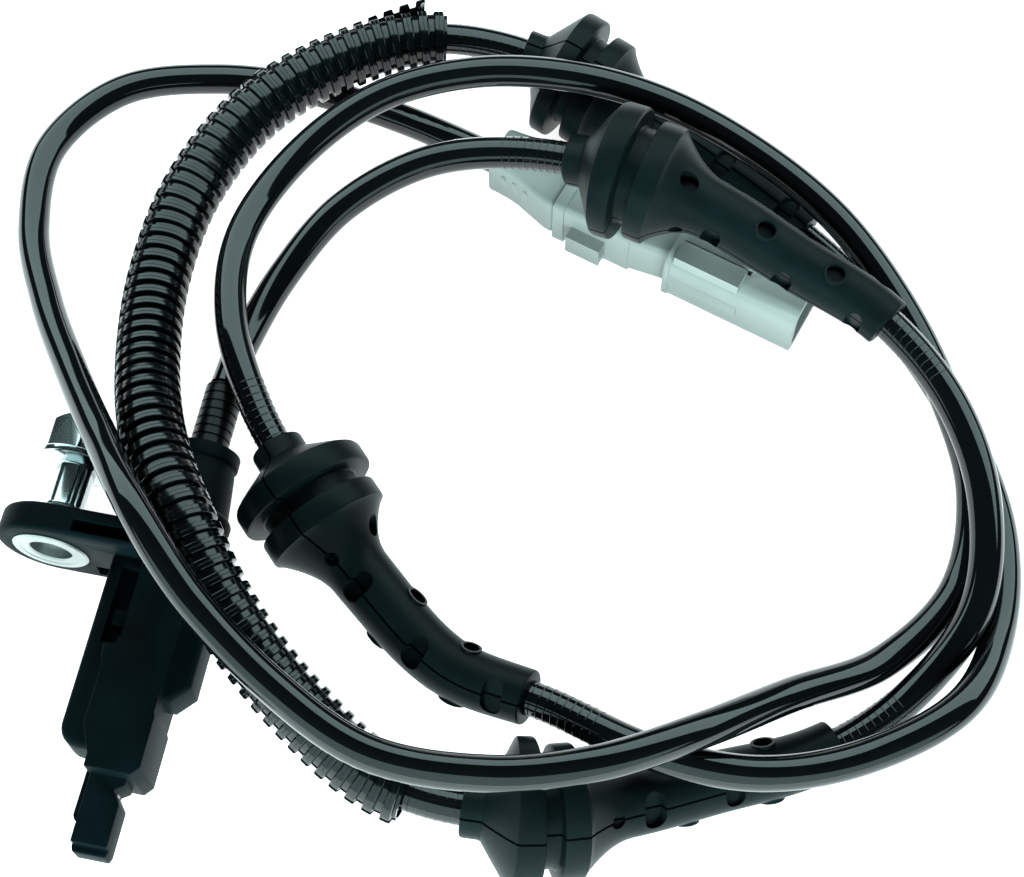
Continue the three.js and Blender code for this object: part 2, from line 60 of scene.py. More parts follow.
view = Vector((
    -math.sin(AZIMUTH) * math.cos(ELEVATION),
    math.cos(AZIMUTH) * math.cos(ELEVATION),
    -math.sin(ELEVATION),
))
camera_data = bpy.data.cameras.new("photo_camera")
camera_data.lens = FOCAL_LENGTH
camera_data.sensor_width = SENSOR_WIDTH
camera_data.sensor_fit = "HORIZONTAL"
camera_data.clip_start = 0.01
camera = bpy.data.objects.new("photo_camera", camera_data)
bpy.context.scene.collection.objects.link(camera)
camera.location = Vector(LOOK_AT) - view * DISTANCE
camera.rotation_euler = view.to_track_quat("-Z", "Y").to_euler()
bpy.context.scene.camera = camera
bpy.context.scene.view_settings.view_transform = "Standard"
print("camera at", [round(value, 4) for value in camera.location])

# %% [markdown]
# The cable's route is the same list of points as in the part's source, in millimetres there and in
# metres here. A smooth curve runs through them all: each Bezier handle points along the line between
# the neighbours on both sides and is a sixth of it long, which gives an even, springy bend.

# %% The cable's route
ROUTE_MM = [
    (9.5, 38, 8.5), (10, 47, 7.5), (13.5, 60, 8.5), (20.5, 72, 12), (32.5, 80.5, 16),
    (47, 83, 19.5), (63.5, 80.5, 23.5), (79.5, 76.5, 23), (94.5, 71.5, 19.5), (109, 65.5, 17.5),
    (121, 54.5, 15.5), (128, 40, 13.5), (129, 23.5, 10.5), (121.5, 9.5, 5.5), (109.5, -1.5, 4.5),
    (95, -9, 5.5), (80.5, -16.5, 9.5), (65, -21, 12), (49, -20, 12), (34.5, -12.5, 15.5),
    (22, -2.5, 21), (12, 10, 23.5), (3.5, 23.5, 20), (-2.5, 39, 14.5), (-5.5, 55, 11.5),
    (-4.5, 71, 11.5), (2, 86.5, 13), (13.5, 98.5, 14), (28, 106, 14.5), (44, 107.5, 12.5),
    (59.5, 102.5, 10.5), (74.5, 96, 8.5), (89, 88.5, 7), (103, 79.5, 6), (115.5, 68, 5.5),
    (125.5, 55, 4.5), (132.5, 40, 4), (133.5, 23.5, 6.5), (128.5, 8, 12), (116, -2.5, 12.5),
    (101, -9, 15), (85.5, -9.5, 16.5), (69.5, -4.5, 13), (53.5, -0.5, 10), (39.5, 9.5, 10.5),
    (27.5, 20.5, 13), (16.5, 33, 13.5), (8.5, 47.5, 14), (6, 63.5, 13), (11.5, 79, 14),
    (22.5, 90.5, 17.5), (37.5, 96, 21), (54, 97, 23), (70, 96.5, 20.5), (86, 92, 17),
    (100, 84, 14.5), (111.5, 72.5, 12), (120.5, 59, 10), (127, 43.5, 8.5), (126.5, 27.5, 6),
    (117, 14, 6), (103.5, 4, 12.5), (91, -6.5, 21), (78, -15, 25.5), (63.5, -19.5, 26),
    (47, -19.5, 25), (32, -13, 25.5), (18.5, -4, 28.5), (7, 7.5, 29.5), (-3, 20, 23.5),
    (-12.5, 32.5, 17.5), (-21.5, 45.5, 12.5), (-29, 60, 9), (-31, 76, 8.5), (-22.5, 89.5, 8.5),
    (-7.5, 96, 7), (8.5, 97.5, 6), (25, 95.5, 5), (42.5, 90, 6),
]
CABLE_DIAMETER = 5.2 * MM
route = [Vector(point) * MM for point in ROUTE_MM]


def handle(index):
    """The arm of the Bezier handle at a point of the route, towards the next point."""
    after = route[min(index + 1, len(route) - 1)]
    before = route[max(index - 1, 0)]
    parts = 6 if 0 < index < len(route) - 1 else 3
    return (after - before) / parts


STEPS_PER_SPAN = 24
line = []
for index in range(len(route) - 1):
    start, end = route[index], route[index + 1]
    first, second = start + handle(index), end - handle(index + 1)
    for step in range(STEPS_PER_SPAN):
        t = step / STEPS_PER_SPAN
        s = 1 - t
        line.append(s ** 3 * start + 3 * s * s * t * first + 3 * s * t * t * second + t ** 3 * end)
line.append(route[-1].copy())
distances = [0.0]
for before, after in zip(line, line[1:]):
    distances.append(distances[-1] + (after - before).length)
cable_length = distances[-1]
print("cable length", round(cable_length, 4))

# %% [markdown]
# The cable is a curve with a round bevel. A swept mesh would do too, but the curve keeps its centre
# line exact and its skin perfectly smooth, which a glossy black surface shows at once.

# %% The cable
cable_curve = bpy.data.curves.new("cable_jacket", "CURVE")
cable_curve.dimensions = "3D"
spline = cable_curve.splines.new("BEZIER")
spline.bezier_points.add(len(route) - 1)
for index, (point, place) in enumerate(zip(spline.bezier_points, route)):
    point.co = place
    point.handle_left = place - handle(index)
    point.handle_right = place + handle(index)
spline.resolution_u = 14
cable_curve.bevel_depth = CABLE_DIAMETER / 2
cable_curve.bevel_resolution = 7
cable_curve.use_fill_caps = True
cable = bpy.data.objects.new("cable_jacket", cable_curve)
bpy.context.scene.collection.objects.link(cable)
print("cable curve of", len(spline.bezier_points), "points")

# %% [markdown]
# Most pieces here are turned shapes, threaded on the cable. They are modelled straight, standing on
# the Z axis, and laid along the cable at the end. A ring of edges is pulled up station by station and
# resized at each, as a potter pulls up a wall, so every rim and groove has its own radius.

# %% Turning helper


def start_fresh():
    """Object mode, with nothing selected."""
    if bpy.context.object and bpy.context.object.mode != "OBJECT":
        bpy.ops.object.mode_set(mode="OBJECT")
    bpy.ops.object.select_all(action="DESELECT")


def select_only(piece):
    """One piece selected and active, as after a click on it."""
    start_fresh()
    piece.select_set(True)
    bpy.context.view_layer.objects.active = piece


def turned(name, stations, segments=56):
    """A turned skin through stations of (radius, height), in millimetres."""
    start_fresh()
    radius, height = stations[0]
    bpy.ops.mesh.primitive_circle_add(
        vertices=segments, radius=radius * MM, location=(0, 0, height * MM))
    piece = bpy.context.object
    piece.name = name
    bpy.ops.object.transform_apply(location=True, rotation=False, scale=False)
    bpy.ops.object.mode_set(mode="EDIT")
    bpy.ops.mesh.select_mode(type="EDGE")
    bpy.ops.mesh.select_all(action="SELECT")
    for (before, low), (after, high) in zip(stations, stations[1:]):
        rise = (high - low) * MM
        bpy.ops.mesh.extrude_edges_move(TRANSFORM_OT_translate={"value": (0, 0, rise)})
        share = after / before
        bpy.ops.transform.resize(value=(share, share, 1), center_override=(0, 0, high * MM))
    bpy.ops.mesh.select_all(action="SELECT")
    bpy.ops.mesh.remove_doubles(threshold=2e-6)
    bpy.ops.mesh.normals_make_consistent(inside=False)
    bpy.ops.object.mode_set(mode="OBJECT")
    return piece


# %% [markdown]
# A straight piece is laid on the cable by its height: a point's height becomes the way along the
# cable, and what is left of it goes to the cable's left and towards the camera. A curve modifier
# could bend it too, but not hold its roll. The straight place of each point is kept in an attribute,
# so that a seam can follow the bent piece.

# %% Laying a straight piece on the cable
TANGENT_REACH = 3  # points of the line on each side that give its direction
tangents = []
for index in range(len(line)):
    before = line[max(index - TANGENT_REACH, 0)]
    after = line[min(index + TANGENT_REACH, len(line) - 1)]
    tangents.append((after - before).normalized())


def cable_frame(arc):
    """Place, left side, camera side and direction of the cable, arc metres along it."""
    arc = min(max(arc, 0.0), cable_length)
    low, high = 0, len(distances) - 1
    while high - low > 1:
        middle = (low + high) // 2
        if distances[middle] <= arc:
            low = middle
        else:
            high = middle
    share = (arc - distances[low]) / max(distances[high] - distances[low], 1e-9)
    place = line[low].lerp(line[high], share)
    forward = tangents[low].lerp(tangents[high], share).normalized()
    up = (-view - forward * forward.dot(-view)).normalized()
    return place, up.cross(forward), up, forward


def keep_straight(piece):
    """Writes each point's straight place into an attribute."""
    spot = piece.data.attributes.new("straight", "FLOAT_VECTOR", "POINT")
    for item, vertex in zip(spot.data, piece.data.vertices):
        item.vector = vertex.co


def lay_on_cable(piece, arc, way=1, roll=0.0):
    """Bends a straight piece along the cable from arc, in millimetres, rolled by degrees."""
    keep_straight(piece)
    turn = Matrix.Rotation(math.radians(-roll), 3, "Z")
    frames = {}
    for vertex in piece.data.vertices:
        x, y, height = turn @ vertex.co
        key = round(height, 6)
        if key not in frames:
            frames[key] = cable_frame(arc * MM + way * height)
        place, left, up, forward = frames[key]
        vertex.co = place + left * way * x + up * y
    piece.data.update()


middle_place = cable_frame(cable_length / 2)[0]
print("middle of the cable", [round(value, 4) for value in middle_place])

# %% [markdown]
# The grommets are rubber plugs that hold the cable in brackets and in the body's wall. Each is one
# turned body: neck, cone, the two flanges with the groove between them, a concave flare and a long
# sleeve. The stations are close together along the sleeve and its bore, so that it bends smoothly.

# %% Grommet profile
GROMMET_BORE, GROMMET_END = 2.66, 57.0
FLARE_START, FLARE_RADIUS, FLARE_STEPS = 16.0, 9.35, 12
SLEEVE_START, SLEEVE_RADIUS, SLEEVE_TAPER, SLEEVE_STEPS = 24.0, 4.85, 0.7, 24
END_ROUND = 0.35
BORE_STEPS = 30
grommet_stations = [
    (GROMMET_BORE, 0.0), (3.8, 0.0), (4.05, 0.12), (4.15, 0.4), (4.15, 2.5), (4.3, 2.9),
    (4.9, 3.3), (6.9, 4.6), (8.9, 5.8), (10.3, 6.65), (10.72, 6.95), (10.85, 7.3), (10.85, 9.7),
    (10.72, 10.05), (10.4, 10.2), (8.1, 10.2), (7.85, 10.35), (7.8, 10.6), (7.8, 12.2),
    (7.85, 12.45), (8.1, 12.6), (9.35, 12.6), (9.62, 12.7), (9.7, 13.0), (9.7, 15.6),
    (9.6, 15.9), (FLARE_RADIUS, FLARE_START),
]
for step in range(1, FLARE_STEPS + 1):
    share = step / FLARE_STEPS
    narrowing = (FLARE_RADIUS - SLEEVE_RADIUS) * math.sin(share * math.pi / 2) ** 0.9
    height = FLARE_START + share * (SLEEVE_START - FLARE_START)
    grommet_stations.append((FLARE_RADIUS - narrowing, height))
for step in range(1, SLEEVE_STEPS + 1):
    share = step / SLEEVE_STEPS
    height = SLEEVE_START + share * (GROMMET_END - END_ROUND - SLEEVE_START)
    grommet_stations.append((SLEEVE_RADIUS - SLEEVE_TAPER * share, height))
grommet_stations += [(4.0, GROMMET_END - 0.1), (3.7, GROMMET_END), (GROMMET_BORE, GROMMET_END)]
for step in range(1, BORE_STEPS):
    grommet_stations.append((GROMMET_BORE, GROMMET_END * (1 - step / BORE_STEPS)))
grommet_stations.append((GROMMET_BORE, 0.0))
print("grommet stations", len(grommet_stations))

# %% [markdown]
# Holes and recesses are cut with simple solids. Each is a flat outline pulled up into a block and
# taken out by a boolean modifier, which is applied at once, so that the next step has a plain mesh.

# %% Cutting and joining helpers


def face_outwards(piece):
    """Turns all faces of a closed piece to look outwards."""
    select_only(piece)
    bpy.ops.object.mode_set(mode="EDIT")
    bpy.ops.mesh.select_all(action="SELECT")
    bpy.ops.mesh.normals_make_consistent(inside=False)
    bpy.ops.object.mode_set(mode="OBJECT")


def thicken(piece, height):
    """Pulls a flat face up into a block."""
    bpy.ops.object.mode_set(mode="EDIT")
    bpy.ops.mesh.select_all(action="SELECT")
    bpy.ops.mesh.extrude_region_move(TRANSFORM_OT_translate={"value": (0, 0, height * MM)})
    bpy.ops.object.mode_set(mode="OBJECT")
    face_outwards(piece)


def apply_modifier(piece, kind, **settings):
    select_only(piece)
    modifier = piece.modifiers.new(kind.lower(), kind)
    for key, value in settings.items():
        setattr(modifier, key, value)
    bpy.ops.object.modifier_apply(modifier=modifier.name)


def cut(piece, cutter):
    """Takes the cutter's shape out of the piece, and the cutter is used up."""
    apply_modifier(piece, "BOOLEAN", object=cutter, operation="DIFFERENCE", solver="EXACT")
    bpy.data.objects.remove(cutter)


def join_solid(piece, other):
    """Fuses another piece into this one, and the other is used up."""
    apply_modifier(piece, "BOOLEAN", object=other, operation="UNION", solver="EXACT")
    bpy.data.objects.remove(other)


def set_down(piece, place=(0, 0, 0), turn=(0, 0, 0)):
    """Turns a piece by degrees, moves it, and makes that a part of its shape."""
    select_only(piece)
    piece.rotation_euler = [math.radians(angle) for angle in turn]
    piece.location = place
    bpy.ops.object.transform_apply(location=True, rotation=True, scale=True)


def prism(name, sides, radius, height, low=0.0):
    """An upright prism with so many sides, in millimetres."""
    start_fresh()
    bpy.ops.mesh.primitive_circle_add(
        vertices=sides, radius=radius * MM, fill_type="NGON", location=(0, 0, low * MM))
    piece = bpy.context.object
    piece.name = name
    bpy.ops.object.transform_apply(location=True, rotation=True, scale=True)
    thicken(piece, height)
    return piece


def outline_block(name, outline, thickness, plane="XY", at=0.0):
    """A flat outline given a thickness. The outline's points are millimetres in the plane."""
    start_fresh()
    bpy.ops.mesh.primitive_circle_add(vertices=len(outline), radius=MM, fill_type="NGON")
    piece = bpy.context.object
    piece.name = name
    for vertex, (x, y) in zip(piece.data.vertices, outline):
        vertex.co = Vector((x, y, at)) * MM
    thicken(piece, thickness)
    if plane == "XZ":  # the outline's second number goes up, and the thickness towards +Y
        for vertex in piece.data.vertices:
            x, y, z = vertex.co
            vertex.co = Vector((x, z, y))
        face_outwards(piece)
    return piece


def arc_points(centre, radius, start, end, count):
    """Points on an arc, in degrees."""
    points = []
    for step in range(count + 1):
        angle = math.radians(start + (end - start) * step / count)
        points.append((centre[0] + radius * math.cos(angle), centre[1] + radius * math.sin(angle)))
    return points


# %% [markdown]
# The sleeve is punched along its four sides. The two sides with the parting line carry long recesses
# across it, the other two carry round holes with a low lip, half a pitch away from the recesses.
# They are real cuts, because their dark hollows show from every side.

# %% Grommet with its recesses
RECESS_PITCH = 13.2
LAST_RECESS = 52.6
RECESS_HALF_LENGTH, RECESS_ROUND, RECESS_FLOOR = 1.15, 1.6, 2.95
HOLE_RADIUS, LIP_RADIUS, LIP_HEIGHT, LIP_FOOT = 1.5, 1.95, 0.12, 2.9


def side_of(angle, radius, height):
    """A place on the sleeve, angle degrees from the parting line."""
    turn = math.radians(angle)
    return Vector((math.sin(turn) * radius, math.cos(turn) * radius, height)) * MM


def sleeve_pin(name, radius, length, foot, height, angle, sides=28):
    """A short pin that points outwards from the sleeve, from foot millimetres off its axis."""
    pin = prism(name, sides, radius, length)
    set_down(pin, side_of(angle, foot, height), (-90, 0, -angle))
    return pin


def recess_cutter(angle, height):
    """A long outline with round ends, across the parting line, that reaches into the sleeve."""
    outline = arc_points((RECESS_HALF_LENGTH, 0), RECESS_ROUND, -90, 90, 12)
    outline += arc_points((-RECESS_HALF_LENGTH, 0), RECESS_ROUND, 90, 270, 12)
    cutter = outline_block("recess", outline, 4.0)
    set_down(cutter, side_of(angle, RECESS_FLOOR, height), (-90, 0, -angle))
    return cutter


whole_pitch = [LAST_RECESS - index * RECESS_PITCH for index in range(3)]
half_pitch = [LAST_RECESS - (index + 0.5) * RECESS_PITCH for index in range(2)]
upper_hole = half_pitch[-1] - RECESS_PITCH
pattern_grommet = turned("pattern_grommet", grommet_stations, 64)
for angle in (90, -90):
    for height in half_pitch:
        share = (height - SLEEVE_START) / (GROMMET_END - SLEEVE_START)
        lip_length = SLEEVE_RADIUS - SLEEVE_TAPER * share + LIP_HEIGHT - LIP_FOOT
        lip = sleeve_pin("lip", LIP_RADIUS, lip_length, LIP_FOOT, height, angle)
        join_solid(pattern_grommet, lip)
for angle in (90, -90):
    for height in half_pitch:
        cut(pattern_grommet, sleeve_pin("hole", HOLE_RADIUS, 4.0, 3.2, height, angle))
    cut(pattern_grommet, sleeve_pin("upper_hole", HOLE_RADIUS, 5.0, 4.2, upper_hole, angle))
for angle in (0, 180):
    for height in whole_pitch:
        cut(pattern_grommet, recess_cutter(angle, height))
    cut(pattern_grommet, sleeve_pin("dimple", 1.05, 5.0, 4.75, 20.6, angle, 20))
print("grommet", len(pattern_grommet.data.polygons), "faces")

# %% [markdown]
# Four copies go on the cable, each with its own mesh, because each is bent to its own stretch of it.
# A copy has its distance along the cable, its sleeve one way or the other, and a roll that puts its
# parting line where the photograph has it. Smooth shading stops at angles, so that the rims stay
# crisp.

# %% Four grommets on the cable
GROMMET_PLACES = [  # millimetres along the cable, way, roll in degrees
    (741.5, -1, -16), (77.5, 1, -76), (465, 1, 15), (270.5, -1, -12),
]


def smooth(piece, degrees):
    """Smooth shading wherever two faces meet at less than this angle."""
    select_only(piece)
    bpy.ops.object.shade_smooth_by_angle(angle=math.radians(degrees))


grommets = []
for number, (arc, way, roll) in enumerate(GROMMET_PLACES, start=1):
    grommet = pattern_grommet.copy()
    grommet.data = pattern_grommet.data.copy()
    grommet.name = f"grommet_body_{number}"
    bpy.context.scene.collection.objects.link(grommet)
    lay_on_cable(grommet, arc, way, roll)
    smooth(grommet, 26)
    grommets.append(grommet)
bpy.data.objects.remove(pattern_grommet)
print("grommets", [grommet.name for grommet in grommets])

# %% [markdown]
# Fine rings stand on the cable's skin on both sides of each grommet, where the tool gripped it. One
# ring is turned, repeated along the cable by an array, and laid in place. They are geometry and not
# a bump, because they catch the light as fine lines on the gloss.

# %% Grip marks
GRIP_PITCH, GRIP_COUNT, GRIP_GAP = 1.3, 9, 0.8
GRIP_RING = [(2.5, 0), (2.61, 0), (2.65, 0.08), (2.65, 0.13), (2.61, 0.21), (2.5, 0.21)]


def repeat_upwards(piece, count, pitch, **settings):
    """Copies a piece upwards, pitch millimetres apart."""
    apply_modifier(piece, "ARRAY", count=count, use_relative_offset=False, use_constant_offset=True,
                   constant_offset_displace=(0, 0, pitch * MM), **settings)


def merge(name, parts):
    """Makes one object of several, without cutting them into each other."""
    start_fresh()
    for part in parts:
        part.select_set(True)
    bpy.context.view_layer.objects.active = parts[0]
    bpy.ops.object.join()
    parts[0].name = name
    return parts[0]


grip_places = []
for arc, way, roll in GROMMET_PLACES:
    grip_places.append((arc - way * GRIP_GAP, -way))
    grip_places.append((arc + way * (GROMMET_END + GRIP_GAP), way))
grip_rings = []
for arc, way in grip_places:
    ring = turned("grip_ring", GRIP_RING, 48)
    repeat_upwards(ring, GRIP_COUNT, GRIP_PITCH)
    lay_on_cable(ring, arc, way)
    grip_rings.append(ring)
grip_marks = merge("grip_marks", grip_rings)
smooth(grip_marks, 60)
print("grip marks in", len(grip_places), "groups")

# %% [markdown]
# The conduit is a split corrugated tube that guards the cable. Its one rib is turned as an open skin
# with a flat crest, a fine line in the crest and a narrow groove, and repeated by an array. The slit
# is opened by deleting a strip of faces, which is easier on a skin than on a wall.

# %% Conduit
CONDUIT_START, RIB_PITCH, RIBS = 278.9, 2.5, 69
CONDUIT_END = RIBS * RIB_PITCH
SLIT_HALF_ANGLE, SLIT_SPREAD, SPREAD_LENGTH = 3.4, 7, 10  # degrees, degrees and millimetres
LIP_ANGLE, LIP_SHORTER = 88, 3.2
conduit = turned("conduit_skin", [
    (4.3, 0.0), (4.3, 0.4), (4.84, 0.54), (4.97, 0.6), (5.03, 0.68), (5.04, 1.2), (5.0, 1.25),
    (5.04, 1.3), (5.03, 1.82), (4.97, 1.9), (4.84, 1.96), (4.3, 2.1), (4.3, 2.5),
], 60)
repeat_upwards(conduit, RIBS, RIB_PITCH, use_merge_vertices=True, merge_threshold=1e-5)
select_only(conduit)
bpy.ops.object.mode_set(mode="EDIT")
skin = bmesh.from_edit_mesh(conduit.data)
for face in skin.faces:
    middle = face.calc_center_median()
    height = middle.z / MM
    angle = math.degrees(math.atan2(middle.x, middle.y))
    spread = max(0.0, (height - (CONDUIT_END - SPREAD_LENGTH)) / SPREAD_LENGTH)
    short_lip = 0 < angle < LIP_ANGLE and height > CONDUIT_END - LIP_SHORTER
    face.select_set(abs(angle) < SLIT_HALF_ANGLE + SLIT_SPREAD * spread or short_lip)
bmesh.update_edit_mesh(conduit.data)
bpy.ops.mesh.delete(type="FACE")
bpy.ops.object.mode_set(mode="OBJECT")
print("conduit skin", len(conduit.data.polygons), "faces,", CONDUIT_END, "mm long")

# %% [markdown]
# One lip of the slit springs outwards at the top end, and a short tongue of it stands clear of the
# cable. It is bent while the tube is still straight. The skin then gets its wall.

# %% Sprung end of the conduit
SPRING_LENGTH, SPRING_LIFT, SPRING_MIDDLE, SPRING_REACH = 16, 0.5, 10, 80
CONDUIT_WALL = 0.55
CONDUIT_ROLL = 62
for vertex in conduit.data.vertices:
    x, y, height = vertex.co
    angle = math.degrees(math.atan2(x, y))
    along = max(0.0, (height / MM - (CONDUIT_END - SPRING_LENGTH)) / SPRING_LENGTH)
    near = max(0.0, 1 - abs(angle - SPRING_MIDDLE) / SPRING_REACH) if angle > 0 else 0.0
    lift = 1 + SPRING_LIFT * along ** 1.7 * near
    vertex.co = Vector((x * lift, y * lift, height))
apply_modifier(conduit, "SOLIDIFY", thickness=CONDUIT_WALL * MM, offset=-1)
lay_on_cable(conduit, CONDUIT_START, 1, CONDUIT_ROLL)
smooth(conduit, 22)
print("conduit", len(conduit.data.polygons), "faces")

# %% [markdown]
# The sensor head is modelled about its own axis: X across, Y along it from the plate's underside, Z
# up. At the end each piece is moved to the head's place. That keeps its numbers short and even.

# %% Head helpers
HEAD_PLACE = Vector((9.5, 6.0, 8.5)) * MM
BOLT_X = -19.0


def stand_along_y(piece):
    """Lays a turned piece over, so that its height runs along Y."""
    set_down(piece, turn=(-90, 0, 0))
    return piece


def block(name, low, high):
    """A box between two corners, in millimetres."""
    start_fresh()
    middle = [(a + b) / 2 * MM for a, b in zip(low, high)]
    size = [(b - a) * MM for a, b in zip(low, high)]
    bpy.ops.mesh.primitive_cube_add(size=1, location=middle, scale=size)
    piece = bpy.context.object
    piece.name = name
    bpy.ops.object.transform_apply(location=True, rotation=True, scale=True)
    return piece


def soften(piece, width, segments, degrees):
    """Rounds the edges that are sharper than this angle, as a mould does."""
    apply_modifier(piece, "BEVEL", width=width * MM, segments=segments, limit_method="ANGLE",
                   angle_limit=math.radians(degrees), use_clamp_overlap=True)


print("head at", [round(value, 4) for value in HEAD_PLACE])

# %% [markdown]
# The lug plate takes the fixing bolt. It is a rounded outline given its thickness, with a core-out
# slot in its upper edge and a shallow one below, where a moulder saves material. Its edges get a
# generous moulded radius before the slots are cut, because the slots are crisper.

# %% Lug plate
PLATE_HALF, PLATE_THICKNESS, PLATE_CORNER = 8.5, 4.6, 3
BUSH_HOLE_RADIUS = 6.05
corner_at = PLATE_HALF - PLATE_CORNER
plate_outline = arc_points((BOLT_X, 0), PLATE_HALF, 90, 270, 28)
plate_outline += arc_points((corner_at, -corner_at), PLATE_CORNER, -90, 0, 6)
plate_outline += arc_points((corner_at, corner_at), PLATE_CORNER, 0, 90, 6)
plate = outline_block("sensor_body", plate_outline, PLATE_THICKNESS, plane="XZ")
soften(plate, 0.8, 4, 50)
cut(plate, block("slot", (-14.4, 0.75, 6.1), (-5.2, 2.7, 9.5)))
cut(plate, block("slot_under", (-12.6, -1, -6.9), (-9.2, 2.2, -3.6)))
bush_hole = stand_along_y(turned("bush_hole", [
    (0.001, -1), (BUSH_HOLE_RADIUS, -1), (BUSH_HOLE_RADIUS, 6), (0.001, 6),
], 56))
bush_hole.location.x = BOLT_X * MM
cut(plate, bush_hole)
print("plate", len(plate.data.polygons), "faces")

# %% [markdown]
# The collar holds the cable where it enters the head. It is turned, since it is round all the way:
# a foot ring on the plate, a waist, and a plain lip ring around the sleeve.

# %% Collar
collar = stand_along_y(turned("collar", [
    (0.01, 4.0), (6.9, 4.0), (6.9, 5.0), (6.5, 5.4), (6.4, 7.6), (6.75, 8.0), (6.8, 9.0),
    (6.55, 9.5), (6.1, 9.9), (5.25, 17.0), (5.05, 17.7), (5.05, 18.0), (5.25, 18.2), (5.4, 18.4),
    (5.4, 20.2), (5.3, 20.4), (5.1, 20.5), (3.3, 20.5), (3.2, 20.3), (3.2, 12.0), (0.01, 12.0),
], 56))
print("collar", len(collar.data.polygons), "faces")

# %% [markdown]
# Below the plate comes the winged body, which slides into the wheel carrier. The wings are a flat
# outline with rounded corners, and the panel stands up from them on both sides. A channel with a
# small boss in it is cut beside the panel. Flat outlines are the plainest way to such a moulding.

# %% Winged body
WING_THICKNESS, PANEL_THICKNESS = 7.6, 12.0


def cut_both_faces(piece, name, low, high, inner, outer):
    """Cuts the same box into both faces of a piece, between two heights off its middle."""
    for face in (-1, 1):
        bottom, top = sorted((face * inner, face * outer))
        cut(piece, block(name, (*low, bottom), (*high, top)))


wing_outline = [(8.5, 0.6), (-8.5, 0.6), (-8.5, -26.0)]
wing_outline += arc_points((-5.4, -26.4), 3.1, 180, 270, 6)
wing_outline += [(4.0, -29.5), (4.0, -20.5), (6.0, -20.5), (8.5, -17.8)]
wings = outline_block("wings", wing_outline, WING_THICKNESS, at=-WING_THICKNESS / 2)
soften(wings, 0.9, 4, 50)
cut_both_faces(wings, "channel", (-6.4, -13.6), (-2.6, -1.6), 2.2, 4.5)
panel_outline = [
    (5.1, 0.6), (-3.3, 0.6), (-3.3, -13.4), (-3.8, -14.1), (-5.0, -14.1), (-5.2, -14.5),
    (-5.1, -15.8), (-4.6, -17.6), (-4.7, -26.4), (-2.9, -30.6), (-2.9, -32.5), (4.0, -32.5),
    (5.1, -31.2), (5.1, -23.6), (4.8, -22.9),
]
panel = outline_block("panel", panel_outline, PANEL_THICKNESS, at=-PANEL_THICKNESS / 2)
soften(panel, 0.5, 3, 25)
cut_both_faces(panel, "low_field", (-3.6, -13.0), (0.6, -1.0), 5.2, 7.0)
channel_boss = block("channel_boss", (-6.0, -10.6, -3.3), (-3.0, -8.0, 3.3))
soften(channel_boss, 0.4, 3, 40)
join_solid(wings, channel_boss)
print("wings", len(wings.data.polygons), "faces, panel", len(panel.data.polygons), "faces")

# %% [markdown]
# The tip holds the sensing element close to the toothed ring. It is a bar with a notch on one side,
# a guide rail on the other and a slope at its end. Then all parts of the moulding are fused, and one
# small bevel runs over the joints, because the real housing is a single piece.

# %% Tip bar
TIP_THICKNESS = 5.6
tip_outline = [
    (2.9, -31.0), (-2.5, -31.0), (-2.5, -42.9), (-2.2, -43.7), (2.6, -43.7), (2.9, -42.9),
    (2.9, -36.2), (1.5, -34.4), (2.9, -33.5),
]
tip = outline_block("tip", tip_outline, TIP_THICKNESS, at=-TIP_THICKNESS / 2)
slope_outline = [(-4, 2.9), (-4, 1.3), (4, 1.3), (4, 2.9)]
cut(tip, outline_block("end_slope", slope_outline, 2.0, plane="XZ", at=-44.6))
soften(tip, 0.25, 3, 30)
rail_outline = [(-2.0, -31), (-3.5, -31), (-3.6, -38.6), (-3.1, -39.4), (-2.0, -39.4)]
rail = outline_block("rail", rail_outline, 3.6, at=-2.4)
soften(rail, 0.25, 3, 30)
body = plate
for part in (collar, wings, panel, tip, rail):
    join_solid(body, part)
soften(body, 0.12, 2, 35)
body.name = "sensor_body"
set_down(body, HEAD_PLACE)
smooth(body, 38)
print("sensor body", len(body.data.polygons), "faces")

# %% [markdown]
# The steel bush keeps the bolt from crushing the plastic. It is a turned ring with small chamfers
# and a low outer zone on its face. The bolt has a hexagon with its corners turned off, a pressed
# flange with a rounded rim, and a polished shank with a fine ring near its end. The corners come off
# by keeping only what the hexagon shares with a turned shape, as on the real bolt.

# %% Bush and bolt
ACROSS_FLATS, HEXAGON_FOOT, HEXAGON_HEIGHT, HEXAGON_TURN = 10, 13.2, 6.4, 6
BOLT_STANDS_OUT = 1.6
bush = stand_along_y(turned("bush_ring", [
    (3.3, 0.05), (3.55, -0.2), (4.7, -0.22), (4.8, -0.34), (5.7, -0.34), (5.95, -0.12),
    (5.95, 4.5), (5.7, 4.75), (3.6, 4.75), (3.3, 4.45), (3.3, 0.05),
], 56))
set_down(bush, HEAD_PLACE + Vector((BOLT_X, 0, 0)) * MM)
smooth(bush, 40)

shank = turned("bolt", [
    (0.01, 0.2), (2.5, 0.2), (2.95, 0.65), (3.0, 4.7), (3.0, 4.9), (3.28, 4.95), (3.3, 5.3),
    (3.02, 5.4), (3.0, 5.6), (3.0, 11.9), (3.2, 12.1), (6.4, 12.2), (6.75, 12.35), (6.8, 13.1),
    (6.6, 13.35), (5.6, 13.55), (0.01, 13.6),
], 64)
hexagon = prism("hexagon", 6, ACROSS_FLATS / math.sqrt(3), HEXAGON_HEIGHT, low=HEXAGON_FOOT)
corner_cut = turned("corner_cut", [
    (0.01, 12), (7.4, 12), (7.4, 16.9), (4.85, 19.6), (0.01, 19.6),
], 64)
apply_modifier(hexagon, "BOOLEAN", object=corner_cut, operation="INTERSECT", solver="EXACT")
bpy.data.objects.remove(corner_cut)
hexagon.rotation_euler.z = math.radians(HEXAGON_TURN)
join_solid(shank, hexagon)
soften(shank, 0.12, 2, 40)
